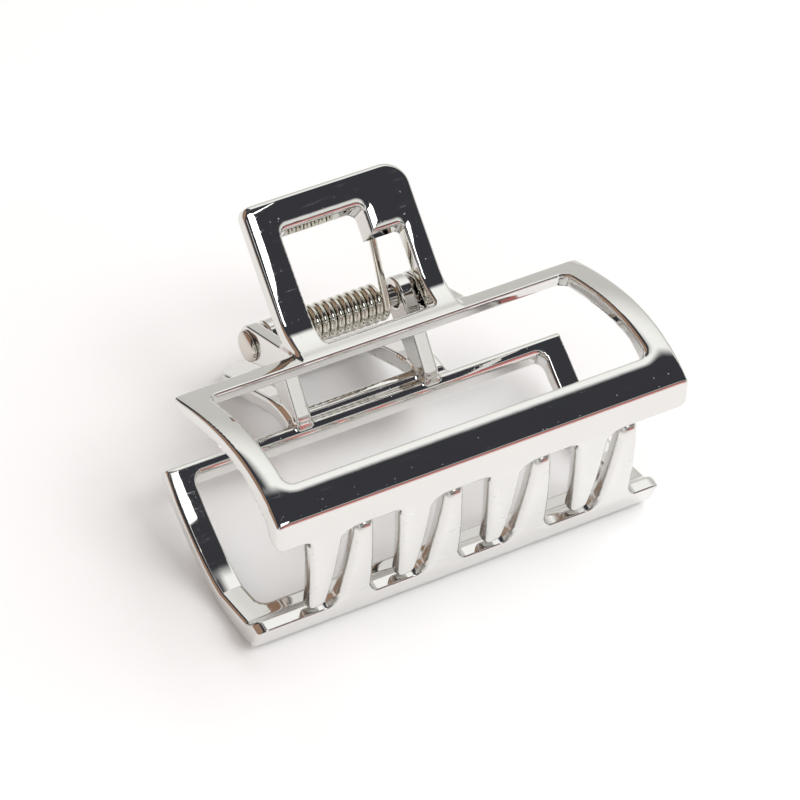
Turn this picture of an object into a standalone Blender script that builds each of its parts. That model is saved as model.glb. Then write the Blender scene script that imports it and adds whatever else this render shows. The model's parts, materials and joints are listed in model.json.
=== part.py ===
"""Metal claw hair clip: two sprung jaws on one hinge pin, lying closed on its rear jaw.

Jaw frame: X along the hinge pin, Y from the pin towards the handle, Z outwards.
Both jaws are modelled in it with the pin axis at the origin, and the rear jaw is the
front jaw's casting turned half round about Y, apart from the spacing of its lugs.
"""
from math import acos, atan2, cos, pi, radians, sin, tan

import bmesh
import bpy
from mathutils import Matrix, Vector

MM = 0.001
GAP = 0.3 * MM                      # clearance between pieces that touch

# Jaw shell, a bulged plate with a window
HALF_LENGTH = 25.0 * MM
WALL = 1.9 * MM
TOP_Y = -7.35 * MM                  # upper edge, next to the handle
BELLY_Y = -22.5 * MM                # where the bulge stands furthest out
BELLY_Z = 11.8 * MM
RIDGE_Y = -29.2 * MM                # sharp lower ridge
BULGE_SQUARE = 0.03025 / MM         # fall of the bulge each way from the belly
BULGE_CUBE = -0.0004725 / MM ** 2
CREASE_Y = -22.0 * MM               # below this the inner face runs straight
INNER_FOOT = (-27.7 * MM, 8.2 * MM)        # Y and Z where it meets the flange
PROFILE_STEPS = 7                   # per side of the belly
WINDOW_HALF = 21.9 * MM
WINDOW_TOP_Y = -9.7 * MM
WINDOW_BOTTOM_Y = -25.2 * MM
WINDOW_RADIUS = 1.0 * MM
WINDOW_CUT = (2.0 * MM, 16.0 * MM)  # Z reach of its cutter

# Flange and comb of teeth, which close the bottom of the clip
FLANGE_Y = -29.9 * MM               # outer face at the flange's edge
FLANGE_EDGE_Z = 6.9 * MM
FLANGE_THICKNESS = 1.8 * MM
TOOTH_COUNT = 4
TOOTH_PITCH = 10.8 * MM
FIRST_TOOTH_X = -21.1 * MM
TOOTH_ROOT = 4.3 * MM               # width at the root and at the tip
TOOTH_TIP = 2.2 * MM
TOOTH_TIP_Z = -6.3 * MM
TOOTH_LEAN = 1.95 * MM              # sideways run of the slanted edge
TOOTH_THICKNESS = 1.6 * MM
TOOTH_ROOT_RADII = (0.6 * MM, 1.6 * MM)    # at the slanted edge and at the square one
TOOTH_TIP_RADII = (0.7 * MM, 1.1 * MM)
COMB_HALF = 24.4 * MM
COMB_STRIP = 0.9 * MM               # how far the comb reaches into the flange

# Handle, a rounded square ring with a tab that the spring pushes on
HANDLE_BASE = (-6.49 * MM, 6.31 * MM)      # Y and Z of its outer face at the base
HANDLE_ANGLE = radians(33.65)              # outwards from Y
HANDLE_LENGTH = 15.7 * MM
HANDLE_LEFT = -10.45 * MM                  # its left bar is the wider one
HANDLE_RIGHT = 9.45 * MM
HANDLE_THICKNESS = 2.0 * MM
LEFT_RADIUS = 1.3 * MM
RIGHT_RADIUS = 2.9 * MM
HANDLE_ROOT = 1.6 * MM                     # how deep it is set into the shell
BEND = 0.108 / MM                          # its foot curves outwards into the shell
BEND_LENGTH = 3.2 * MM
BEND_STEPS = 6
SPARE = 1.0 * MM                           # a cutter's reach past what it cuts
OPENING_HALF = 6.9 * MM
OPENING_LOW = -0.5 * MM
OPENING_HIGH = 12.3 * MM
OPENING_RADIUS = 0.8 * MM
TAB_INNER_X = 3.3 * MM
TAB_LOW = 9.05 * MM

# Hinge: lugs, pin and torsion spring
LUG_INNER = (7.1 * MM, 8.9 * MM)           # rear jaw's lugs
LUG_OUTER = (9.2 * MM, 10.8 * MM)          # front jaw's lugs
LUG_RADIUS = 2.2 * MM
LUG_FOOT = (-7.3 * MM, 5.0 * MM)
LUG_FOOT_HALF = 1.35 * MM
LUG_FOOT_SPARE = 1.0 * MM                  # how far its foot is sunk into the shell
LUG_ROUND = 2.1 * MM
LUG_FOOT_ROUND = 0.4 * MM
PIN_RADIUS = 1.0 * MM
PIN_HEAD_RADIUS = 1.8 * MM
PIN_HEAD = 0.55 * MM
WIRE = 0.88 * MM
COIL_PITCH = 0.96 * MM
COIL_RADIUS = 1.75 * MM
COIL_TURNS = 12                            # and an end cut short where a leg leaves
COIL_STEPS = 12                            # points per turn
LEG_TIP_X = 4.5 * MM
LEG_TIP_ALONG = 10.8 * MM                  # along the handle from its base
LEG_STEPS = 8

ARC_STEPS = 4
ROUND_SIDES = 24
SECTION = Matrix(((0, 0, 1, 0), (1, 0, 0, 0), (0, 1, 0, 0), (0, 0, 0, 1)))


def clear_scene():
    for old in list(bpy.data.objects):
        bpy.data.objects.remove(old, do_unlink=True)


def new_collection(name):
    collection = bpy.data.collections.new(name)
    bpy.context.scene.collection.children.link(collection)
    return collection


def metal(name, colour, roughness):
    material = bpy.data.materials.new(name)
    material.use_nodes = True
    shader = material.node_tree.nodes["Principled BSDF"]
    shader.inputs["Base Color"].default_value = (*colour, 1.0)
    shader.inputs["Metallic"].default_value = 1.0
    shader.inputs["Roughness"].default_value = roughness
    return material


def rounded(corners):
    """Outline through corners (a, b, radius), each corner replaced by an arc."""
    points = []
    for index, (a, b, radius) in enumerate(corners):
        corner = Vector((a, b))
        before = (Vector(corners[index - 1][:2]) - corner).normalized()
        after = (Vector(corners[(index + 1) % len(corners)][:2]) - corner).normalized()
        if radius == 0:
            points.append(corner)
            continue
        half_angle = before.angle(after) / 2
        centre = corner + (before + after).normalized() * radius / sin(half_angle)
        start = corner + before * radius / tan(half_angle) - centre
        end = corner + after * radius / tan(half_angle) - centre
        sweep = atan2(start.x * end.y - start.y * end.x, start.dot(end))
        for step in range(ARC_STEPS + 1):
            points.append(centre + Matrix.Rotation(sweep * step / ARC_STEPS, 2) @ start)
    return points


def plate(name, outlines, thickness, place, collection):
    """Flat outlines thickened to both sides; outlines after the first are holes."""
    curve = bpy.data.curves.new(name, "CURVE")
    curve.dimensions = "2D"
    curve.fill_mode = "BOTH"
    curve.extrude = thickness / 2
    for outline in outlines:
        spline = curve.splines.new("POLY")
        spline.points.add(len(outline) - 1)
        spline.use_cyclic_u = True
        for point, (a, b) in zip(spline.points, outline):
            point.co = (a, b, 0.0, 1.0)
    return solid_from_curve(name, curve, place, collection)


def solid_from_curve(name, curve, place, collection):
    """Closed mesh object made from a curve, with its caps welded."""
    guide = bpy.data.objects.new(name + "_guide", curve)
    bpy.context.scene.collection.objects.link(guide)
    bpy.context.view_layer.update()
    evaluated = guide.evaluated_get(bpy.context.evaluated_depsgraph_get())
    mesh = bpy.data.meshes.new_from_object(evaluated)
    bpy.data.objects.remove(guide, do_unlink=True)
    welded = bmesh.new()
    welded.from_mesh(mesh)
    bmesh.ops.remove_doubles(welded, verts=welded.verts, dist=0.000001)
    bmesh.ops.recalc_face_normals(welded, faces=welded.faces)
    welded.to_mesh(mesh)
    welded.free()
    solid = bpy.data.objects.new(name, mesh)
    solid.matrix_world = place
    collection.objects.link(solid)
    return solid


def bulge(y):
    """Height of the shell's outer face above the pin's plane at y."""
    reach = y - BELLY_Y
    return BELLY_Z - BULGE_SQUARE * reach ** 2 - BULGE_CUBE * reach ** 3


def inner_point(y):
    """Point of the inner face, one wall thickness square to the outer face at y."""
    reach = y - BELLY_Y
    slope = -2 * BULGE_SQUARE * reach - 3 * BULGE_CUBE * reach ** 2
    across = Vector((-slope, 1.0)).normalized()
    return Vector((y, bulge(y))) - across * WALL


def belly_stations():
    """Stations down the outer face, from the upper edge to the ridge."""
    above = [TOP_Y + (BELLY_Y - TOP_Y) * k / PROFILE_STEPS for k in range(PROFILE_STEPS)]
    below = [BELLY_Y + (RIDGE_Y - BELLY_Y) * k / PROFILE_STEPS
             for k in range(PROFILE_STEPS + 1)]
    return above + below


def shell_outline():
    """Section of the shell and its flange, square to the pin."""
    stations = belly_stations()
    outer = [Vector((y, bulge(y))) for y in stations]
    flange = [Vector((FLANGE_Y, FLANGE_EDGE_Z)),
              Vector((FLANGE_Y + FLANGE_THICKNESS, FLANGE_EDGE_Z)), Vector(INNER_FOOT)]
    inner = [inner_point(y) for y in reversed(stations) if y > CREASE_Y]
    return outer + flange + inner


def comb_outline():
    """Strip of flange with its teeth; each has a slanted edge and an edge square to the pin."""
    strip_z = FLANGE_EDGE_Z + COMB_STRIP
    left_root, right_root = TOOTH_ROOT_RADII
    left_tip, right_tip = TOOTH_TIP_RADII
    corners = [(-COMB_HALF, strip_z, 0), (-COMB_HALF, FLANGE_EDGE_Z, 0)]
    for tooth in range(TOOTH_COUNT):
        left = FIRST_TOOTH_X + TOOTH_PITCH * tooth
        tip_left = left + TOOTH_LEAN
        corners += [(left, FLANGE_EDGE_Z, left_root),
                    (tip_left, TOOTH_TIP_Z, left_tip),
                    (tip_left + TOOTH_TIP, TOOTH_TIP_Z, right_tip),
                    (left + TOOTH_ROOT, FLANGE_EDGE_Z, right_root)]
    return rounded(corners + [(COMB_HALF, FLANGE_EDGE_Z, 0), (COMB_HALF, strip_z, 0)])


def handle_outlines():
    """Ring of the handle and its opening, with the tab in one corner."""
    outer = [(HANDLE_LEFT, -HANDLE_ROOT, 0), (HANDLE_RIGHT, -HANDLE_ROOT, 0),
             (HANDLE_RIGHT, HANDLE_LENGTH, RIGHT_RADIUS),
             (HANDLE_LEFT, HANDLE_LENGTH, LEFT_RADIUS)]
    opening = [(-OPENING_HALF, OPENING_LOW, OPENING_RADIUS),
               (OPENING_HALF, OPENING_LOW, OPENING_RADIUS),
               (OPENING_HALF, TAB_LOW, 0.5 * OPENING_RADIUS),
               (TAB_INNER_X, TAB_LOW, 0.5 * OPENING_RADIUS),
               (TAB_INNER_X, OPENING_HIGH, 0.5 * OPENING_RADIUS),
               (-OPENING_HALF, OPENING_HIGH, OPENING_RADIUS)]
    return [rounded(outer), rounded(opening)]


def handle_section():
    """Side view of the handle's plate, flat but for its foot."""
    face, back = [], []
    for step in range(BEND_STEPS + 1):
        reach = (BEND_LENGTH + HANDLE_ROOT + SPARE) * (1 - step / BEND_STEPS)
        point = Vector((BEND_LENGTH - reach, BEND * reach ** 2))
        square = Vector((2 * BEND * reach, 1.0)).normalized()
        face.append(point)
        back.append(point - square * HANDLE_THICKNESS)
    end = HANDLE_LENGTH + SPARE
    return face + [Vector((end, 0)), Vector((end, -HANDLE_THICKNESS))] + back[::-1]


def handle_place():
    """Frame of the handle: X with the pin, Y along the handle, Z out of its face."""
    return Matrix.Translation((0, *HANDLE_BASE)) @ Matrix.Rotation(HANDLE_ANGLE, 4, "X")


def make_handle(name, cutters):
    width = 2 * max(-HANDLE_LEFT, HANDLE_RIGHT) + SPARE
    handle = plate(name + "_handle", [handle_section()], width, handle_place() @ SECTION, cutters)
    ring = plate(name + "_ring", handle_outlines(), 4 * HANDLE_THICKNESS, handle_place(), cutters)
    combine(handle, [ring], "INTERSECT")
    return handle, ring


def lug_outline():
    """Ear with a round end on the pin axis and a foot in the shell's upper edge."""
    foot_y, foot_z = LUG_FOOT
    reach = Vector(LUG_FOOT).length + LUG_FOOT_SPARE
    turn = Matrix.Rotation(atan2(foot_z, foot_y), 2)
    corners = [(-LUG_RADIUS, LUG_RADIUS, LUG_ROUND), (-LUG_RADIUS, -LUG_RADIUS, LUG_ROUND),
               (reach, -LUG_FOOT_HALF, LUG_FOOT_ROUND), (reach, LUG_FOOT_HALF, LUG_FOOT_ROUND)]
    return [turn @ point for point in rounded(corners)]


def combine(target, tools, operation):
    for tool in tools:
        modifier = target.modifiers.new(tool.name, "BOOLEAN")
        modifier.operation = operation
        modifier.solver = "EXACT"
        modifier.object = tool
        tool.hide_render = True
        tool.display_type = "WIRE"


def make_jaw(name, lug, parts, cutters):
    """One jaw casting in the jaw frame; lug is the reach of its lugs along the pin."""
    jaw = plate(name, [shell_outline()], 2 * HALF_LENGTH, SECTION, parts)
    handle, ring = make_handle(name, cutters)
    comb_y = FLANGE_Y + FLANGE_THICKNESS / 2
    comb_place = Matrix.Translation((0, comb_y, 0)) @ Matrix.Rotation(pi / 2, 4, "X")
    comb = plate(name + "_comb", [comb_outline()], TOOTH_THICKNESS, comb_place, cutters)
    lugs = [plate(f"{name}_lug_{side}", [lug_outline()], lug[1] - lug[0],
                  Matrix.Translation((sign * sum(lug) / 2, 0, 0)) @ SECTION, cutters)
            for side, sign in (("left", -1), ("right", 1))]
    combine(jaw, [handle, comb] + lugs, "UNION")

    window_corners = [(-WINDOW_HALF, WINDOW_BOTTOM_Y, WINDOW_RADIUS),
                      (WINDOW_HALF, WINDOW_BOTTOM_Y, WINDOW_RADIUS),
                      (WINDOW_HALF, WINDOW_TOP_Y, WINDOW_RADIUS),
                      (-WINDOW_HALF, WINDOW_TOP_Y, WINDOW_RADIUS)]
    low, high = WINDOW_CUT
    window = plate(name + "_window", [rounded(window_corners)], high - low,
                   Matrix.Translation((0, 0, (low + high) / 2)), cutters)
    bore_place = Matrix.Rotation(pi / 2, 4, "Y")
    bore = cylinder(name + "_bore", PIN_RADIUS + GAP, 2 * HALF_LENGTH, bore_place, cutters)
    combine(jaw, [window, bore], "DIFFERENCE")
    return jaw, [handle, ring, comb, window, bore] + lugs


def cylinder(name, radius, length, place, collection):
    mesh = bpy.data.meshes.new(name)
    shape = bmesh.new()
    bmesh.ops.create_cone(shape, cap_ends=True, segments=ROUND_SIDES, radius1=radius,
                          radius2=radius, depth=length)
    shape.to_mesh(mesh)
    shape.free()
    solid = bpy.data.objects.new(name, mesh)
    solid.matrix_world = place
    collection.objects.link(solid)
    return solid


def make_pin(parts):
    """Turned pin with a peened head at each end, on the X axis."""
    head_start = LUG_OUTER[1] + GAP
    dome = 0.5 * PIN_HEAD_RADIUS
    profile = [(0, head_start + PIN_HEAD), (dome, head_start + PIN_HEAD),
               (PIN_HEAD_RADIUS, head_start + 0.5 * PIN_HEAD),
               (PIN_HEAD_RADIUS, head_start), (PIN_RADIUS, head_start)]
    profile += [(radius, -height) for radius, height in reversed(profile)]
    mesh = bpy.data.meshes.new("hinge_pin")
    edges = [(k, k + 1) for k in range(len(profile) - 1)]
    mesh.from_pydata([(radius, 0, height) for radius, height in profile], edges, [])
    pin = bpy.data.objects.new("hinge_pin", mesh)
    parts.objects.link(pin)
    screw = pin.modifiers.new("turn", "SCREW")
    screw.steps = ROUND_SIDES
    screw.render_steps = ROUND_SIDES
    screw.use_merge_vertices = True
    screw.merge_threshold = 0.000001
    pin.matrix_world = Matrix.Rotation(pi / 2, 4, "Y")
    return pin


def spring_route():
    """Close coil round the pin with a straight leg to the back of each handle's tab."""
    tip = handle_place() @ Vector((LEG_TIP_X, LEG_TIP_ALONG,
                                   -HANDLE_THICKNESS - WIRE / 2 - GAP))
    leave = atan2(tip.z, tip.y) + acos(COIL_RADIUS / Vector((tip.y, tip.z)).length)
    turns = COIL_TURNS - leave / pi
    end_x = COIL_PITCH * turns / 2
    leave_point = Vector((end_x, COIL_RADIUS * cos(leave), COIL_RADIUS * sin(leave)))
    leg = [leave_point.lerp(tip, k / LEG_STEPS) for k in range(1, LEG_STEPS + 1)]

    steps = round(turns * COIL_STEPS)
    coil = []
    for k in range(steps + 1):
        turn = turns * (k / steps - 0.5)
        angle = -2 * pi * turn
        coil.append(Vector((COIL_PITCH * turn, COIL_RADIUS * cos(angle),
                            COIL_RADIUS * sin(angle))))
    far_leg = [Vector((-point.x, point.y, -point.z)) for point in reversed(leg)]
    return far_leg + coil + leg


def make_spring(parts):
    curve = bpy.data.curves.new("torsion_spring", "CURVE")
    curve.dimensions = "3D"
    curve.bevel_depth = WIRE / 2
    curve.bevel_resolution = 2
    curve.use_fill_caps = True
    spline = curve.splines.new("POLY")
    route = spring_route()
    spline.points.add(len(route) - 1)
    for point, place in zip(spline.points, route):
        point.co = (*place, 1.0)
    return solid_from_curve("torsion_spring", curve, Matrix.Identity(4), parts)


def resting_tilt():
    """Tilt of the clip lying on its rear jaw: belly and handle tip touch the floor."""
    handle_tip = handle_place() @ Vector((0, HANDLE_LENGTH, 0))
    tilt = 0.0
    for _ in range(40):
        belly = max((bulge(y) * cos(tilt) - y * sin(tilt), y) for y in belly_stations())
        drop = handle_tip.z * cos(tilt) - handle_tip.y * sin(tilt) - belly[0]
        tilt += drop / (handle_tip.y - belly[1])
    return tilt


def place_assembly(pin_frame, parts):
    """Lay the clip on the floor with the middle of its box on the origin."""
    pin_frame.matrix_world = Matrix.Rotation(resting_tilt(), 4, "X")
    bpy.context.view_layer.update()
    depsgraph = bpy.context.evaluated_depsgraph_get()
    corners = []
    for part in parts.objects:
        if part.type == "MESH":
            seen = part.evaluated_get(depsgraph)
            corners += [seen.matrix_world @ vertex.co for vertex in seen.data.vertices]
    middle_y = (min(c.y for c in corners) + max(c.y for c in corners)) / 2
    pin_frame.location = (0, -middle_y, -min(c.z for c in corners))
    bpy.context.view_layer.update()


def main():
    clear_scene()
    parts = new_collection("hair_claw_clip")
    cutters = new_collection("cutters")
    pin_frame = bpy.data.objects.new("pin_frame", None)
    parts.objects.link(pin_frame)

    chrome = metal("chrome_plate", (0.80, 0.79, 0.77), 0.06)
    steel = metal("spring_steel", (0.62, 0.60, 0.56), 0.22)
    front_jaw, front_tools = make_jaw("front_jaw", LUG_OUTER, parts, cutters)
    rear_jaw, rear_tools = make_jaw("rear_jaw", LUG_INNER, parts, cutters)
    half_turn = Matrix.Rotation(pi, 4, "Y")
    for piece in [rear_jaw] + rear_tools:
        piece.matrix_world = half_turn @ piece.matrix_world
    hinge_pin = make_pin(parts)
    torsion_spring = make_spring(parts)

    for piece in [front_jaw, rear_jaw, hinge_pin, torsion_spring] + front_tools + rear_tools:
        piece.parent = pin_frame
    for jaw in (front_jaw, rear_jaw):
        jaw.data.materials.append(chrome)
    hinge_pin.data.materials.append(steel)
    torsion_spring.data.materials.append(steel)
    place_assembly(pin_frame, parts)


main()
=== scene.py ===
"""Looks of the metal claw hair clip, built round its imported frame.

Lengths are in millimetres in the jaw frame, X along the pin, Y towards the handle and
Z outwards. The meshes are in metres.
"""

import json
from math import acos, atan2, cos, pi, radians, sin, tan

import bmesh
import bpy
import numpy as np
from mathutils import Matrix, Vector


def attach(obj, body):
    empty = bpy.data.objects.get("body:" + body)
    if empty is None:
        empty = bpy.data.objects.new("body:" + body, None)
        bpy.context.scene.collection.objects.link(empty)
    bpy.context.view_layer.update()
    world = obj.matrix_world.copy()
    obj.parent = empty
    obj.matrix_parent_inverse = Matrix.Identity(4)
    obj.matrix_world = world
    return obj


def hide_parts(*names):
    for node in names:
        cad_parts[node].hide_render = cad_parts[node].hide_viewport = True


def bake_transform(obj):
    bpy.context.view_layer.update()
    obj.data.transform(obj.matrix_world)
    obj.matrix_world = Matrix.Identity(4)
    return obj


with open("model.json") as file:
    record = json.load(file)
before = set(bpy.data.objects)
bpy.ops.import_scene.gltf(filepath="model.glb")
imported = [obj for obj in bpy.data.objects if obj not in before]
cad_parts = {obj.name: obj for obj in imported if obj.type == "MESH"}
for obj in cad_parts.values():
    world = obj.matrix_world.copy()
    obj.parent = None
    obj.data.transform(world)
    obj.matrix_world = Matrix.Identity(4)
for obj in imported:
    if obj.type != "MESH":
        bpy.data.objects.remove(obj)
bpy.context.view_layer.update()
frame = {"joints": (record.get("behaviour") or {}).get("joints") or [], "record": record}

MM = 0.001
HINGE = frame["joints"][0]
PIN_PLACE = Vector(HINGE["pos_m"])
HANDLE_ANGLE = radians(33.65)       # outwards from Y
MOUNTS = {mount["name"]: mount for mount in frame["record"]["mounts"]}
FACE_NORMAL = Vector(MOUNTS["front_handle_face"]["axis"])
TILT = atan2(-FACE_NORMAL.y, FACE_NORMAL.z) - HANDLE_ANGLE
JAW_FRAME = Matrix.Translation(PIN_PLACE) @ Matrix.Rotation(TILT, 4, "X")
HALF_TURN = Matrix.Rotation(pi, 4, "Y")

# Shell; a pair is a point's Y and Z
HALF_LENGTH = 25.0
WALL = 1.9
TOP = (-7.35, 6.5)                  # upper edge, next to the handle
TOP_NORMAL = (0.861, -0.509)        # square to the narrow face there
BELLY = (-22.5, 11.8)               # where the bulge stands furthest out
RIDGE = (-29.2, 10.3)
BULGE_SQUARE = 0.03025              # fall of the bulge each way from the belly
BULGE_CUBE = -0.0004725
CREASE = (-22.0, 9.85)              # below this the inner face runs straight
INNER_FOOT = (-27.7, 8.2)
WINDOW_HALF = 21.9
WINDOW_REACH = (-25.2, -9.7)        # its lower and upper side
WINDOW_CORNER = 1.0
CROWN = 0.15                        # depth and reach of the faces' fall towards an edge
CROWN_REACH = 1.6

# Radii of the shell's edges and fillets
EDGE = 0.45
WINDOW_BACK_EDGE = 0.5
RIDGE_EDGE = 0.25
TOP_EDGE = 0.3
RIM_EDGE = 0.2
FLANGE_FILLET = 0.8

# Flange and teeth
FLANGE_Y = -29.9
FLANGE_EDGE = 6.9
FLANGE_SLOPE = (RIDGE[0] - FLANGE_Y) / (RIDGE[1] - FLANGE_EDGE)
FLANGE_THICK = 1.8
TOOTH_THICK = 1.6
THICKENING = 2.0                    # how far into the flange the teeth's thickness grows to its own
TOOTH_BOW = 0.35
TOOTH_COUNT = 4
TOOTH_PITCH = 10.8
FIRST_TOOTH = -21.1
TOOTH_ROOT = 4.3
TOOTH_TIP = 2.2
TOOTH_TIP_Z = -6.3
TOOTH_LEAN = 1.95
TOOTH_ROOT_RADII = (1.0, 1.6)       # at the slanted edge and at the square one
TOOTH_TIP_RADII = (0.7, 1.2)
TOOTH_CROWN = 0.32
TOOTH_CROWN_REACH = 1.7
TOOTH_EDGE_EXTRA = 0.4              # a tooth's edge is this much rounder than the rim
TOOTH_FADE = 1.5                    # length over which the crown and that extra radius come in
COMB_EDGE = 0.6
COMB_SPARE = 0.4                    # the plan's reach past the shell's ends
COMB_BACK = 16.0                    # the plan's far side, past the shell's outer face
COMB_END_RADIUS = 1.6
ARC_STEPS = 8

# Handle
HANDLE_BASE = (-6.49, 6.31)
HANDLE_LENGTH = 15.7
HANDLE_SIDES = (-10.45, 9.45)       # its left bar is the wider one
HANDLE_THICK = 2.0
HANDLE_CORNERS = (1.3, 2.9)         # left and right
HANDLE_START = -8.0                 # the ring's plan begins here and is cut off at its root
HANDLE_ROOT = -1.6
BEND = 0.108                        # the handle's foot curves outwards into the frame
BEND_LENGTH = 3.2
OPENING_HALF = 6.9
OPENING_LOW = -0.5
OPENING_HIGH = 12.3
OPENING_CORNER = 0.9
OPENING_EDGE = 0.25
OPENING_DRAFT = 0.4                 # its upper side and the tab slope in towards the back
TAB_X = 3.3
TAB_LOW = 9.05
TAB_CORNER = 0.5
HANDLE_CROWN = 0.14
OPENING_CROWN_REACH = 1.2
RIGHT_CROWN_REACH = 0.6
LEFT_CROWN_EXTRA = 0.9              # the outer crown reaches further on the left bar
LEFT_CROWN_X = (-6.0, -9.0)         # where that begins and where it is complete
CROWN_RISE = (3.5, 10.5)            # along the handle, where the crowns begin and are complete

# Hinge
LUG_INNER = (7.1, 8.9)
LUG_OUTER = (9.2, 10.8)
LUG_RADIUS = 2.2
LUG_FOOT = (-7.3, 5.0)
LUG_FOOT_RADIUS = 1.35
LUG_EDGE = 0.3
HANDLE_FILLET = 0.4
LUG_FILLET = 0.5
BORE_EDGE = 0.15
CLEARANCE = 0.3
PIN_RADIUS = 1.0
PIN_HEAD_RADIUS = 1.8
PIN_HEAD = 0.55
PIN_CHAMFER = 0.05                  # also the gap between a head and its lug
HEAD_RIM = (0.06, 0.08)             # the head's lower edge, across and along
DOME_SHARE = 0.75                   # of the head's height
DOME_STEPS = 6
PIN_STEPS = 72
WIRE = 0.88
COIL_PITCH = 0.96
COIL_RADIUS = 1.75
COIL_TURNS = 12
COIL_STEPS = 40                     # per turn
LEG_TIP_X = 4.5
LEG_TIP_ALONG = 10.8
LEG_STEPS = 30

# Meshes
MESH_STEP = 0.22
COARSE = 4                          # steps in a coarse cell
NEAR = 1.8                          # coarse cells from the surface that are sampled finely
PROJECTIONS = 4
FLATTEST = 0.2                      # least squared slope that a projection trusts
JAW_MARGIN = 0.6
BOW_MARGIN = 1.2
HANDLE_TIP = (9.0, 16.6)            # Y and Z past the handle's tip
WELD = 0.000001
SHARP_ANGLE = radians(50)

# Materials and surroundings
CHROME = (0.80, 0.795, 0.775)
STEEL = (0.68, 0.65, 0.60)
NICKEL_WIRE = (0.76, 0.745, 0.67)
TONE_DRIFT = 0.96                   # darkest tone against the lightest
DRIFT_SCALE = 140.0
SCRATCH_TURN = (0.5, 0.3, 0.7)
SCRATCH_SCALE = (260.0, 2600.0, 2600.0)
SCRATCH_ROUGHNESS = 0.16
SATIN_ROUGHNESS = 0.17              # added on the teeth
RIPPLE_SCALE = 420.0
PIT_SCALE = 4200.0
PIT_DEPTH = -0.6
BUMP_HEIGHT = 0.00003
FLOOR_COLOUR = (0.88, 0.875, 0.875)
FLOOR_HALF = 3.0
LAMP_SIZE = 1.2
LAMPS = (("key", (0.5, -0.35, 0.9), 12.0), ("fill", (-0.6, -0.5, 0.9), 5.3))
WALLS = (0.66, 0.65, 0.62)
CEILING = (1.12, 1.12, 1.10)
DARK = (0.045, 0.046, 0.055)
PANEL = (4.0, 4.0, 4.0)
BROWN = (0.36, 0.23, 0.16)
RED = (0.62, 0.22, 0.20)
BACK_LEFT = (-0.74, 0.47, 0.42)
FRONT_RIGHT = (0.42, -0.92, 0.08)


# ---------------------------------------------------------------- distance functions

def length2(a, b):
    """Length of the vector (a, b)."""
    return np.sqrt(a * a + b * b)


def both(a, b, radius):
    """Intersection of two shapes given as signed distances, with a rounded edge."""
    return np.minimum(-radius, np.maximum(a, b)) + length2(np.maximum(radius + a, 0),
                                                           np.maximum(radius + b, 0))


def either(a, b, radius):
    """Union of two shapes with a fillet."""
    return np.maximum(radius, np.minimum(a, b)) - length2(np.maximum(radius - a, 0),
                                                          np.maximum(radius - b, 0))


def slab(value, low, high):
    """Signed distance to the span from low to high."""
    middle = (low + high) / 2
    return np.abs(value - middle) - (high - low) / 2


def crowned(edge, depth, reach):
    """How far a face falls away near an edge, given its signed distance."""
    return depth * np.clip(1 + edge / reach, 0, 1) ** 2


def rectangle(a, b, a_range, b_range, radius):
    """Rectangle with round corners."""
    over_a = slab(a, *a_range) + radius
    over_b = slab(b, *b_range) + radius
    outside = length2(np.maximum(over_a, 0), np.maximum(over_b, 0))
    return outside + np.minimum(np.maximum(over_a, over_b), 0) - radius


def rounded(corners):
    """Outline through corners (a, b, radius), each corner replaced by an arc."""
    points = []
    for index, (a, b, radius) in enumerate(corners):
        corner = Vector((a, b))
        before = (Vector(corners[index - 1][:2]) - corner).normalized()
        after = (Vector(corners[(index + 1) % len(corners)][:2]) - corner).normalized()
        if radius == 0:
            points.append(corner)
            continue
        half_angle = before.angle(after) / 2
        centre = corner + (before + after).normalized() * radius / sin(half_angle)
        start = corner + before * radius / tan(half_angle) - centre
        end = corner + after * radius / tan(half_angle) - centre
        sweep = atan2(start.x * end.y - start.y * end.x, start.dot(end))
        for step in range(ARC_STEPS + 1):
            points.append(centre + Matrix.Rotation(sweep * step / ARC_STEPS, 2) @ start)
    return points


def inside_outline(a, b, outline):
    """Signed distance to a closed outline, negative inside."""
    nearest = np.full(a.shape, 1e9)
    inside = np.zeros(a.shape, bool)
    for index, (a1, b1) in enumerate(outline):
        a0, b0 = outline[index - 1]
        run_a, run_b = a1 - a0, b1 - b0
        along = (a - a0) * run_a + (b - b0) * run_b
        along = np.clip(along / (run_a * run_a + run_b * run_b), 0, 1)
        gap = (a - a0 - run_a * along) ** 2 + (b - b0 - run_b * along) ** 2
        nearest = np.minimum(nearest, gap)
        if b0 != b1:
            crossing = (b0 > b) != (b1 > b)
            inside ^= crossing & (a < run_a * (b - b0) / run_b + a0)
    return np.where(inside, -1.0, 1.0) * np.sqrt(nearest)


# ---------------------------------------------------------------- the jaw casting

def comb_outline():
    """Plan of the flange and its teeth; each has a slanted edge and a square one."""
    side = HALF_LENGTH + COMB_SPARE
    corners = [(-side, COMB_BACK, 0), (-side, FLANGE_EDGE, COMB_END_RADIUS)]
    for tooth in range(TOOTH_COUNT):
        left = FIRST_TOOTH + TOOTH_PITCH * tooth
        tip_left = left + TOOTH_LEAN
        corners += [(left, FLANGE_EDGE, TOOTH_ROOT_RADII[0]),
                    (tip_left, TOOTH_TIP_Z, TOOTH_TIP_RADII[0]),
                    (tip_left + TOOTH_TIP, TOOTH_TIP_Z, TOOTH_TIP_RADII[1]),
                    (left + TOOTH_ROOT, FLANGE_EDGE, TOOTH_ROOT_RADII[1])]
    return rounded(corners + [(side, FLANGE_EDGE, COMB_END_RADIUS), (side, COMB_BACK, 0)])


COMB = comb_outline()


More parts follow.
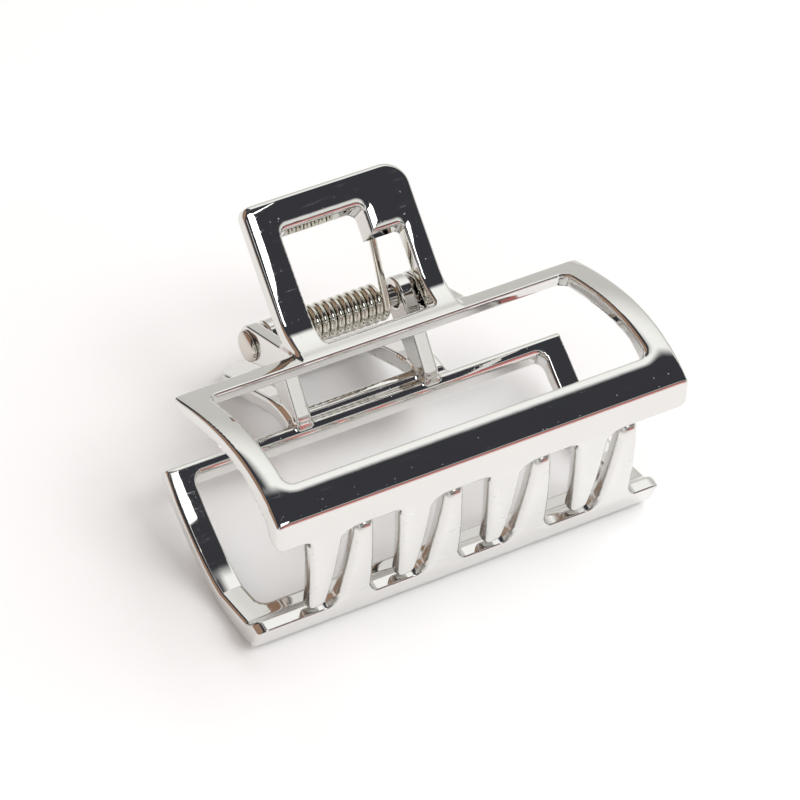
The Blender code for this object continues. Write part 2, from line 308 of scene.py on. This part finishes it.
def shell_distance(x, y, z):
    """Bulged plate, its flange and teeth, and the window."""
    run = y - BELLY[0]
    bulge = BELLY[1] - BULGE_SQUARE * run ** 2 - BULGE_CUBE * run ** 3
    slope = -2 * BULGE_SQUARE * run - 3 * BULGE_CUBE * run ** 2
    outer = (z - bulge) / np.sqrt(1 + slope * slope)
    ends = np.abs(x) - HALF_LENGTH
    window = rectangle(x, y, (-WINDOW_HALF, WINDOW_HALF), WINDOW_REACH, WINDOW_CORNER)

    line_y, line_z = CREASE[0] - INNER_FOOT[0], CREASE[1] - INNER_FOOT[1]
    below_line = ((y - CREASE[0]) * line_z - (z - CREASE[1]) * line_y) / np.hypot(line_y, line_z)
    inner = np.minimum(-(outer + WALL), below_line)
    inner = inner + crowned(ends, CROWN, CROWN_REACH)
    inner = both(inner, ends, EDGE)
    inner = both(inner, -window, WINDOW_BACK_EDGE)

    sweep = np.clip(z / FLANGE_EDGE, -1, 1)
    low_y = FLANGE_Y - TOOTH_BOW * (1 - sweep ** 2) + FLANGE_SLOPE * np.maximum(z - FLANGE_EDGE, 0)
    ease = np.clip((z - FLANGE_EDGE + THICKENING) / THICKENING, 0, 1)
    thick = TOOTH_THICK + (FLANGE_THICK - TOOTH_THICK) * ease
    plan = inside_outline(x, z, COMB)
    tooth = np.clip((FLANGE_EDGE - z) / TOOTH_FADE, 0, 1)
    low_y = low_y + tooth * crowned(plan, TOOTH_CROWN, TOOTH_CROWN_REACH)
    flange = both(y - low_y - thick, plan, COMB_EDGE)
    body = either(inner, flange, FLANGE_FILLET)

    top = (y - TOP[0]) * TOP_NORMAL[0] + (z - TOP[1]) * TOP_NORMAL[1]
    outer = outer + crowned(ends, CROWN, CROWN_REACH) + crowned(-window, CROWN, CROWN_REACH)
    limits = both(outer, low_y - y, RIDGE_EDGE)
    limits = both(limits, top, TOP_EDGE)
    limits = both(limits, ends, EDGE)
    limits = both(limits, -window, EDGE)
    return both(body, limits, RIM_EDGE + TOOTH_EDGE_EXTRA * tooth)


def growth(value, begin, full):
    """0 at begin, 1 at full, straight between."""
    return np.clip((value - begin) / (full - begin), 0, 1)


def handle_distance(x, y, z):
    """Ring handle with a tab in one corner of its opening."""
    along = (y - HANDLE_BASE[0]) * cos(HANDLE_ANGLE) + (z - HANDLE_BASE[1]) * sin(HANDLE_ANGLE)
    depth = (z - HANDLE_BASE[1]) * cos(HANDLE_ANGLE) - (y - HANDLE_BASE[0]) * sin(HANDLE_ANGLE)
    bent = np.clip(BEND_LENGTH - along, 0, BEND_LENGTH - HANDLE_ROOT)
    depth = (depth - BEND * bent ** 2) / np.sqrt(1 + (2 * BEND * bent) ** 2)

    corner = np.where(x < 0, *HANDLE_CORNERS)
    ring = rectangle(x, along, HANDLE_SIDES, (HANDLE_START, HANDLE_LENGTH), corner)
    ring = np.maximum(ring, HANDLE_ROOT - along)
    draft = OPENING_DRAFT * np.clip(-depth, 0, HANDLE_THICK)
    beside_tab = rectangle(x, along, (-OPENING_HALF, TAB_X - draft),
                           (OPENING_LOW, OPENING_HIGH - draft), OPENING_CORNER)
    below_tab = rectangle(x, along, (-OPENING_HALF, OPENING_HALF),
                          (OPENING_LOW, TAB_LOW - draft), TAB_CORNER)
    opening = np.minimum(beside_tab, below_tab)

    reach = RIGHT_CROWN_REACH + LEFT_CROWN_EXTRA * growth(x, *LEFT_CROWN_X)
    crown = crowned(ring, HANDLE_CROWN * reach, reach)
    crown = crown + crowned(-opening, HANDLE_CROWN, OPENING_CROWN_REACH)
    face = depth + growth(along, *CROWN_RISE) * crown
    plate = both(ring, np.maximum(face, -HANDLE_THICK - depth), EDGE)
    return both(plate, -opening, OPENING_EDGE)


def lug_distance(x, y, z, reach):
    """Ear round the pin, narrowing to a foot in the shell's upper edge."""
    foot_y, foot_z = LUG_FOOT
    along = np.clip((y * foot_y + z * foot_z) / (foot_y ** 2 + foot_z ** 2), 0, 1)
    radius = LUG_RADIUS + (LUG_FOOT_RADIUS - LUG_RADIUS) * along
    side = length2(y - foot_y * along, z - foot_z * along) - radius
    return both(side, slab(np.abs(x), *reach), LUG_EDGE)


def jaw_distance(points, lug):
    """The whole casting, its lugs reaching over the given span of X on both sides."""
    x, y, z = points[:, 0], points[:, 1], points[:, 2]
    body = either(shell_distance(x, y, z), handle_distance(x, y, z), HANDLE_FILLET)
    body = either(body, lug_distance(x, y, z, lug), LUG_FILLET)
    bore = length2(y, z) - PIN_RADIUS - CLEARANCE
    return both(body, -bore, BORE_EDGE)


# ---------------------------------------------------------------- meshing

def sample_field(distance, low, counts, step):
    """Distance on a grid, exact near the surface and coarse away from it."""
    blocks = [-(-count // COARSE) for count in counts]
    axes = [low[k] + step * (COARSE * np.arange(blocks[k]) + (COARSE - 1) / 2) for k in range(3)]
    grid = np.stack(np.meshgrid(*axes, indexing="ij"), -1).reshape(-1, 3)
    field = distance(grid).reshape(blocks)
    near = np.abs(field) < step * COARSE * NEAR
    for axis in range(3):
        field = np.repeat(field, COARSE, axis)
        near = np.repeat(near, COARSE, axis)
    index = np.argwhere(near)
    field[near] = distance(np.array(low) + step * index)
    return field


def gradient(distance, points):
    """Slope of a distance at each point, by central differences."""
    tiny = 0.01
    slopes = np.empty_like(points)
    for axis in range(3):
        shift = np.zeros(3)
        shift[axis] = tiny
        slopes[:, axis] = (distance(points + shift) - distance(points - shift)) / (2 * tiny)
    return slopes


def surface_cells(field):
    """Corners and quads of the net of cells that the surface passes through."""
    solid = field < 0
    corner = solid[:-1, :-1, :-1]
    mixed = np.zeros(corner.shape, bool)
    nx, ny, nz = corner.shape
    for dx in (0, 1):
        for dy in (0, 1):
            for dz in (0, 1):
                mixed |= solid[dx:dx + nx, dy:dy + ny, dz:dz + nz] != corner
    numbers = np.full(mixed.shape, -1)
    numbers[mixed] = np.arange(mixed.sum())
    quads = []
    for axis in range(3):
        here = np.take(solid, range(solid.shape[axis] - 1), axis)
        ahead = np.take(solid, range(1, solid.shape[axis]), axis)
        for rising in (True, False):
            edges = np.argwhere(here & ~ahead if rising else ~here & ahead)
            one, two = (axis + 1) % 3, (axis + 2) % 3
            edges = edges[(edges[:, one] > 0) & (edges[:, two] > 0)]
            ring = []
            for back_one, back_two in ((0, 0), (1, 0), (1, 1), (0, 1)):
                cell = edges.copy()
                cell[:, one] -= back_one
                cell[:, two] -= back_two
                ring.append(numbers[cell[:, 0], cell[:, 1], cell[:, 2]])
            quads.append(np.stack(ring if rising else ring[::-1], 1))
    return np.argwhere(mixed), np.concatenate(quads)


def distance_mesh(name, distance, low, high, step):
    """Smooth closed mesh of a signed distance, with its exact normals."""
    counts = [int((high[k] - low[k]) / step) + 2 for k in range(3)]
    field = sample_field(distance, low, counts, step)
    cells, quads = surface_cells(field)
    points = np.array(low) + step * (cells + 0.5)
    for _ in range(PROJECTIONS):
        slopes = gradient(distance, points)
        steepness = np.maximum((slopes ** 2).sum(1), FLATTEST)
        move = -slopes * (distance(points) / steepness)[:, None]
        points += np.clip(move, -step, step)
    slopes = gradient(distance, points)
    normals = slopes / np.linalg.norm(slopes, axis=1)[:, None]

    mesh = bpy.data.meshes.new(name)
    mesh.from_pydata((points * MM).tolist(), [], quads.tolist())
    mesh.shade_smooth()
    mesh.normals_split_custom_set_from_vertices(normals.tolist())
    piece = bpy.data.objects.new(name, mesh)
    bpy.context.scene.collection.objects.link(piece)
    return piece


def make_jaw(name, lug, place):
    """Jaw in one mesh, with a point attribute that is 1 on its teeth and 0 elsewhere."""
    low = (-HALF_LENGTH - JAW_MARGIN, FLANGE_Y - BOW_MARGIN, TOOTH_TIP_Z - JAW_MARGIN)
    high = (HALF_LENGTH + JAW_MARGIN, *HANDLE_TIP)
    piece = distance_mesh(name, lambda points: jaw_distance(points, lug), low, high, MESH_STEP)
    satin = piece.data.attributes.new("satin", "FLOAT", "POINT")
    for vertex, share in zip(piece.data.vertices, satin.data):
        if vertex.co.y < INNER_FOOT[0] * MM:
            share.value = min(max((FLANGE_EDGE + 0.5 - vertex.co.z / MM) / 2, 0), 1)
    piece.data.transform(place)
    return piece


# ---------------------------------------------------------------- hinge pin and spring

def smooth_piece(name, shape, place):
    """Piece from a bmesh, welded, shaded smooth but for its sharp edges, and placed."""
    bmesh.ops.remove_doubles(shape, verts=shape.verts, dist=WELD)
    bmesh.ops.recalc_face_normals(shape, faces=shape.faces)
    mesh = bpy.data.meshes.new(name)
    shape.to_mesh(mesh)
    shape.free()
    mesh.shade_smooth()
    mesh.set_sharp_from_angle(angle=SHARP_ANGLE)
    piece = bpy.data.objects.new(name, mesh)
    bpy.context.scene.collection.objects.link(piece)
    mesh.transform(place)
    return piece


def make_pin():
    """Turned pin with a domed, peened head at each end."""
    seat = LUG_OUTER[1] + PIN_CHAMFER
    height = CLEARANCE + PIN_HEAD - PIN_CHAMFER
    profile = [(0.0, seat + height)]
    for step in range(1, DOME_STEPS + 1):
        angle = step * pi / 2 / DOME_STEPS
        rise = 1 - DOME_SHARE + DOME_SHARE * cos(angle)
        profile.append((PIN_HEAD_RADIUS * sin(angle), seat + height * rise))
    profile += [(PIN_HEAD_RADIUS, seat + HEAD_RIM[1]), (PIN_HEAD_RADIUS - HEAD_RIM[0], seat),
                (PIN_RADIUS + PIN_CHAMFER, seat), (PIN_RADIUS, seat - PIN_CHAMFER)]
    profile += [(radius, -along) for radius, along in reversed(profile)]
    shape = bmesh.new()
    verts = [shape.verts.new((radius * MM, 0, along * MM)) for radius, along in profile]
    edges = [shape.edges.new(pair) for pair in zip(verts, verts[1:])]
    bmesh.ops.spin(shape, geom=verts + edges, cent=(0, 0, 0), axis=(0, 0, 1), angle=2 * pi,
                   steps=PIN_STEPS, use_merge=True)
    return smooth_piece("pin_look", shape, JAW_FRAME @ Matrix.Rotation(pi / 2, 4, "Y"))


def spring_route():
    """Close coil round the pin with a leg to the back of each handle's tab."""
    depth = -HANDLE_THICK - WIRE / 2 - CLEARANCE
    tip = Vector((LEG_TIP_X,
                  HANDLE_BASE[0] + LEG_TIP_ALONG * cos(HANDLE_ANGLE) - depth * sin(HANDLE_ANGLE),
                  HANDLE_BASE[1] + LEG_TIP_ALONG * sin(HANDLE_ANGLE) + depth * cos(HANDLE_ANGLE)))
    leave = atan2(tip.z, tip.y) + acos(COIL_RADIUS / Vector((tip.y, tip.z)).length)
    turns = COIL_TURNS - leave / pi
    end_x = COIL_PITCH * turns / 2
    leave_point = Vector((end_x, COIL_RADIUS * cos(leave), COIL_RADIUS * sin(leave)))
    leg = [leave_point.lerp(tip, step / LEG_STEPS) for step in range(1, LEG_STEPS + 1)]
    coil = []
    steps = round(turns * COIL_STEPS)
    for k in range(steps + 1):
        turn = turns * (k / steps - 0.5)
        angle = -2 * pi * turn
        coil.append(Vector((COIL_PITCH * turn, COIL_RADIUS * cos(angle), COIL_RADIUS * sin(angle))))
    far_leg = [Vector((-point.x, point.y, -point.z)) for point in reversed(leg)]
    return far_leg + coil + leg


def make_spring():
    """Round wire along the spring's route, with flat cut ends."""
    curve = bpy.data.curves.new("spring_wire", "CURVE")
    curve.dimensions = "3D"
    curve.bevel_depth = WIRE / 2 * MM
    curve.bevel_resolution = 6
    curve.use_fill_caps = True
    spline = curve.splines.new("POLY")
    route = spring_route()
    spline.points.add(len(route) - 1)
    for point, place in zip(spline.points, route):
        point.co = (*(place * MM), 1.0)
    guide = bpy.data.objects.new("spring_guide", curve)
    bpy.context.scene.collection.objects.link(guide)
    bpy.context.view_layer.update()
    drawn = bpy.data.meshes.new_from_object(guide.evaluated_get(bpy.context.evaluated_depsgraph_get()))
    bpy.data.objects.remove(guide, do_unlink=True)
    shape = bmesh.new()
    shape.from_mesh(drawn)
    bpy.data.meshes.remove(drawn)
    return smooth_piece("spring_look", shape, JAW_FRAME)


# ---------------------------------------------------------------- materials

def node(tree, kind, **values):
    """New node with its settings or inputs, an input's spaces written as underscores."""
    made = tree.nodes.new(kind)
    for name, value in values.items():
        if hasattr(made, name):
            setattr(made, name, value)
        else:
            made.inputs[name.replace("_", " ")].default_value = value
    return made


def plated_metal(name, colour, roughness, scratch, dent=0.35):
    """Bright plating: fine scratches, faint pits and a slight tone drift."""
    material = bpy.data.materials.new(name)
    material.use_nodes = True
    tree = material.node_tree
    shader = tree.nodes["Principled BSDF"]
    shader.inputs["Metallic"].default_value = 1.0
    place = node(tree, "ShaderNodeTexCoord")

    drift = node(tree, "ShaderNodeTexNoise", Scale=DRIFT_SCALE, Detail=3.0)
    tone = node(tree, "ShaderNodeMix", data_type="RGBA")
    tone.inputs[6].default_value = (*[TONE_DRIFT * channel for channel in colour], 1)
    tone.inputs[7].default_value = (*colour, 1)
    tree.links.new(place.outputs["Object"], drift.inputs["Vector"])
    tree.links.new(drift.outputs["Fac"], tone.inputs[0])
    tree.links.new(tone.outputs[2], shader.inputs["Base Color"])

    streak_place = node(tree, "ShaderNodeMapping")
    streak_place.inputs["Rotation"].default_value = SCRATCH_TURN
    streak_place.inputs["Scale"].default_value = SCRATCH_SCALE
    streaks = node(tree, "ShaderNodeTexNoise", Scale=1.0, Detail=2.0)
    worn = node(tree, "ShaderNodeMapRange", From_Min=0.60, From_Max=0.78, To_Min=roughness,
                To_Max=roughness + SCRATCH_ROUGHNESS * scratch)
    tree.links.new(place.outputs["Object"], streak_place.inputs["Vector"])
    tree.links.new(streak_place.outputs["Vector"], streaks.inputs["Vector"])
    tree.links.new(streaks.outputs["Fac"], worn.inputs["Value"])
    satin = node(tree, "ShaderNodeAttribute", attribute_name="satin")
    dulled = node(tree, "ShaderNodeMath", operation="MULTIPLY_ADD")
    dulled.inputs[1].default_value = SATIN_ROUGHNESS
    tree.links.new(satin.outputs["Fac"], dulled.inputs[0])
    tree.links.new(worn.outputs["Result"], dulled.inputs[2])
    tree.links.new(dulled.outputs[0], shader.inputs["Roughness"])

    ripple = node(tree, "ShaderNodeTexNoise", Scale=RIPPLE_SCALE, Detail=2.0)
    grain = node(tree, "ShaderNodeTexNoise", Scale=PIT_SCALE, Detail=1.0)
    pits = node(tree, "ShaderNodeMapRange", From_Min=0.77, From_Max=0.84, To_Max=PIT_DEPTH)
    relief = node(tree, "ShaderNodeMath", operation="ADD")
    bump = node(tree, "ShaderNodeBump", Strength=dent, Distance=BUMP_HEIGHT)
    tree.links.new(place.outputs["Object"], ripple.inputs["Vector"])
    tree.links.new(place.outputs["Object"], grain.inputs["Vector"])
    tree.links.new(grain.outputs["Fac"], pits.inputs["Value"])
    tree.links.new(pits.outputs["Result"], relief.inputs[0])
    tree.links.new(ripple.outputs["Fac"], relief.inputs[1])
    tree.links.new(relief.outputs["Value"], bump.inputs["Height"])
    tree.links.new(bump.outputs["Normal"], shader.inputs["Normal"])
    return material


def pale_floor_material():
    material = bpy.data.materials.new("pale_floor")
    material.use_nodes = True
    shader = material.node_tree.nodes["Principled BSDF"]
    shader.inputs["Base Color"].default_value = (*FLOOR_COLOUR, 1)
    shader.inputs["Roughness"].default_value = 0.25
    shader.inputs["Specular IOR Level"].default_value = 0.3
    return material


# ---------------------------------------------------------------- stage, light and camera

def make_floor():
    mesh = bpy.data.meshes.new("floor")
    shape = bmesh.new()
    bmesh.ops.create_grid(shape, x_segments=1, y_segments=1, size=FLOOR_HALF)
    shape.to_mesh(mesh)
    shape.free()
    floor = bpy.data.objects.new("floor", mesh)
    bpy.context.scene.collection.objects.link(floor)
    floor.data.materials.append(pale_floor_material())


def area_light(name, place, watts):
    """Square lamp aimed at the pin, which glossy surfaces don't mirror."""
    light = bpy.data.lights.new(name, "AREA")
    light.size = LAMP_SIZE
    light.energy = watts
    lamp = bpy.data.objects.new(name, light)
    bpy.context.scene.collection.objects.link(lamp)
    lamp.location = place
    lamp.rotation_euler = (PIN_PLACE - Vector(place)).to_track_quat("-Z", "Y").to_euler()
    lamp.visible_glossy = False


def studio_world():
    """Pale room as bright metal sees it, with soft cards overhead and round the sides."""
    world = bpy.data.worlds.new("studio")
    bpy.context.scene.world = world
    world.use_nodes = True
    tree = world.node_tree
    background = tree.nodes["Background"]
    place = node(tree, "ShaderNodeTexCoord")
    split = node(tree, "ShaderNodeSeparateXYZ")
    tree.links.new(place.outputs["Generated"], split.inputs[0])
    height = node(tree, "ShaderNodeMath", operation="MAXIMUM")
    height.inputs[1].default_value = 0.01
    tree.links.new(split.outputs["Z"], height.inputs[0])
    ceiling = []
    for axis in "XY":
        ratio = node(tree, "ShaderNodeMath", operation="DIVIDE")
        tree.links.new(split.outputs[axis], ratio.inputs[0])
        tree.links.new(height.outputs[0], ratio.inputs[1])
        ceiling.append(ratio.outputs[0])

    def span(value, low, high, soft):
        """1 between low and high, fading to 0 over soft on each side."""
        rise = node(tree, "ShaderNodeMapRange", interpolation_type="SMOOTHSTEP",
                    From_Min=low - soft, From_Max=low + soft)
        fall = node(tree, "ShaderNodeMapRange", interpolation_type="SMOOTHSTEP",
                    From_Min=high - soft, From_Max=high + soft, To_Min=1.0, To_Max=0.0)
        product = node(tree, "ShaderNodeMath", operation="MULTIPLY")
        for index, part in enumerate((rise, fall)):
            tree.links.new(value, part.inputs["Value"])
            tree.links.new(part.outputs["Result"], product.inputs[index])
        return product.outputs[0]

    def overhead(x_span, y_span):
        """Card on the ceiling: low, high and softness in x and in y over the height."""
        product = node(tree, "ShaderNodeMath", operation="MULTIPLY")
        tree.links.new(span(ceiling[0], *x_span), product.inputs[0])
        tree.links.new(span(ceiling[1], *y_span), product.inputs[1])
        return product.outputs[0]

    def toward(direction, inner, outer):
        """1 inside the inner angle round a direction, 0 outside the outer angle."""
        dot = node(tree, "ShaderNodeVectorMath", operation="DOT_PRODUCT")
        dot.inputs[1].default_value = Vector(direction).normalized()
        tree.links.new(place.outputs["Generated"], dot.inputs[0])
        fade = node(tree, "ShaderNodeMapRange", interpolation_type="SMOOTHSTEP",
                    From_Min=cos(radians(outer)), From_Max=cos(radians(inner)))
        tree.links.new(dot.outputs["Value"], fade.inputs["Value"])
        return fade.outputs["Result"]

    def over(base, colour, share):
        """A colour, or a node's output, with another colour laid over it."""
        mix = node(tree, "ShaderNodeMix", data_type="RGBA")
        tree.links.new(share, mix.inputs[0])
        if isinstance(base, tuple):
            mix.inputs[6].default_value = (*base, 1)
        else:
            tree.links.new(base, mix.inputs[6])
        mix.inputs[7].default_value = (*colour, 1)
        return mix.outputs[2]

    room = over(WALLS, CEILING, toward((0, 0, 1), 30, 75))
    # Three dark cards overhead, and a bright panel among them
    room = over(room, DARK, overhead((-0.1, 0.29, 0.13), (0.05, 0.90, 0.12)))
    room = over(room, DARK, overhead((-0.8, 3.0, 0.05), (-1.15, 0.08, 0.10)))
    room = over(room, DARK, overhead((-0.8, 3.0, 0.05), (-4.5, -1.45, 0.05)))
    room = over(room, PANEL, overhead((0.05, 0.42, 0.015), (-0.86, -0.43, 0.01)))
    # A brown patch inside a dark one at the back left, and a red one low at the front right
    room = over(room, DARK, toward(BACK_LEFT, 54, 60))
    room = over(room, BROWN, toward(BACK_LEFT, 34, 42))
    room = over(room, RED, toward(FRONT_RIGHT, 13, 22))
    tree.links.new(room, background.inputs["Color"])
    background.inputs["Strength"].default_value = 1.0


# Place, direction and upright of the camera in the jaw frame
VIEW_FROM = Vector((-187.41, -232.0, 342.35))
VIEW_ALONG = Vector((0.41976, 0.48924, -0.76449)).normalized()
VIEW_UP = Vector((0.30294, 0.71847, 0.62612))
LENS = 189.0


def make_camera():
    camera = bpy.data.cameras.new("camera")
    camera.lens = LENS
    camera.sensor_width = 36.0
    camera.clip_start = 0.01
    camera.clip_end = 20.0
    body = bpy.data.objects.new("camera", camera)
    bpy.context.scene.collection.objects.link(body)
    back = -VIEW_ALONG
    right = VIEW_UP.cross(back).normalized()
    up = back.cross(right)
    turn = Matrix((right, up, back)).transposed().to_4x4()
    body.matrix_world = JAW_FRAME @ Matrix.Translation(VIEW_FROM * MM) @ turn
    bpy.context.scene.camera = body


def main():
    make_camera()
    make_floor()
    studio_world()
    for name, place, watts in LAMPS:
        area_light(name, place, watts)
    bpy.context.scene.view_settings.view_transform = "Standard"

    chrome = plated_metal("bright_chrome", CHROME, roughness=0.03, scratch=1.0)
    steel = plated_metal("pin_nickel", STEEL, roughness=0.08, scratch=1.0, dent=1.0)
    wire = plated_metal("spring_nickel", NICKEL_WIRE, roughness=0.04, scratch=0.8)

    front = make_jaw("front_jaw_look", LUG_OUTER, JAW_FRAME)
    rear = make_jaw("rear_jaw_look", LUG_INNER, JAW_FRAME @ HALF_TURN)
    pin = make_pin()
    spring = make_spring()
    for piece, material, slot_name, node_name in (
            (front, chrome, "chrome_plate", "front_jaw"), (rear, chrome, "chrome_plate", "rear_jaw"),
            (pin, steel, "pin_steel", "hinge_pin"), (spring, wire, "spring_wire", "torsion_spring")):
        piece.data.materials.append(material)
        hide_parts(node_name)
    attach(front, "front")
    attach(rear, "rear")
    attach(pin, "rear")

    # The coil winds between the jaws. The legs don't follow their handles all the way, so their
    # tips cut into the tabs when the clip is open.
    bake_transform(spring)


main()
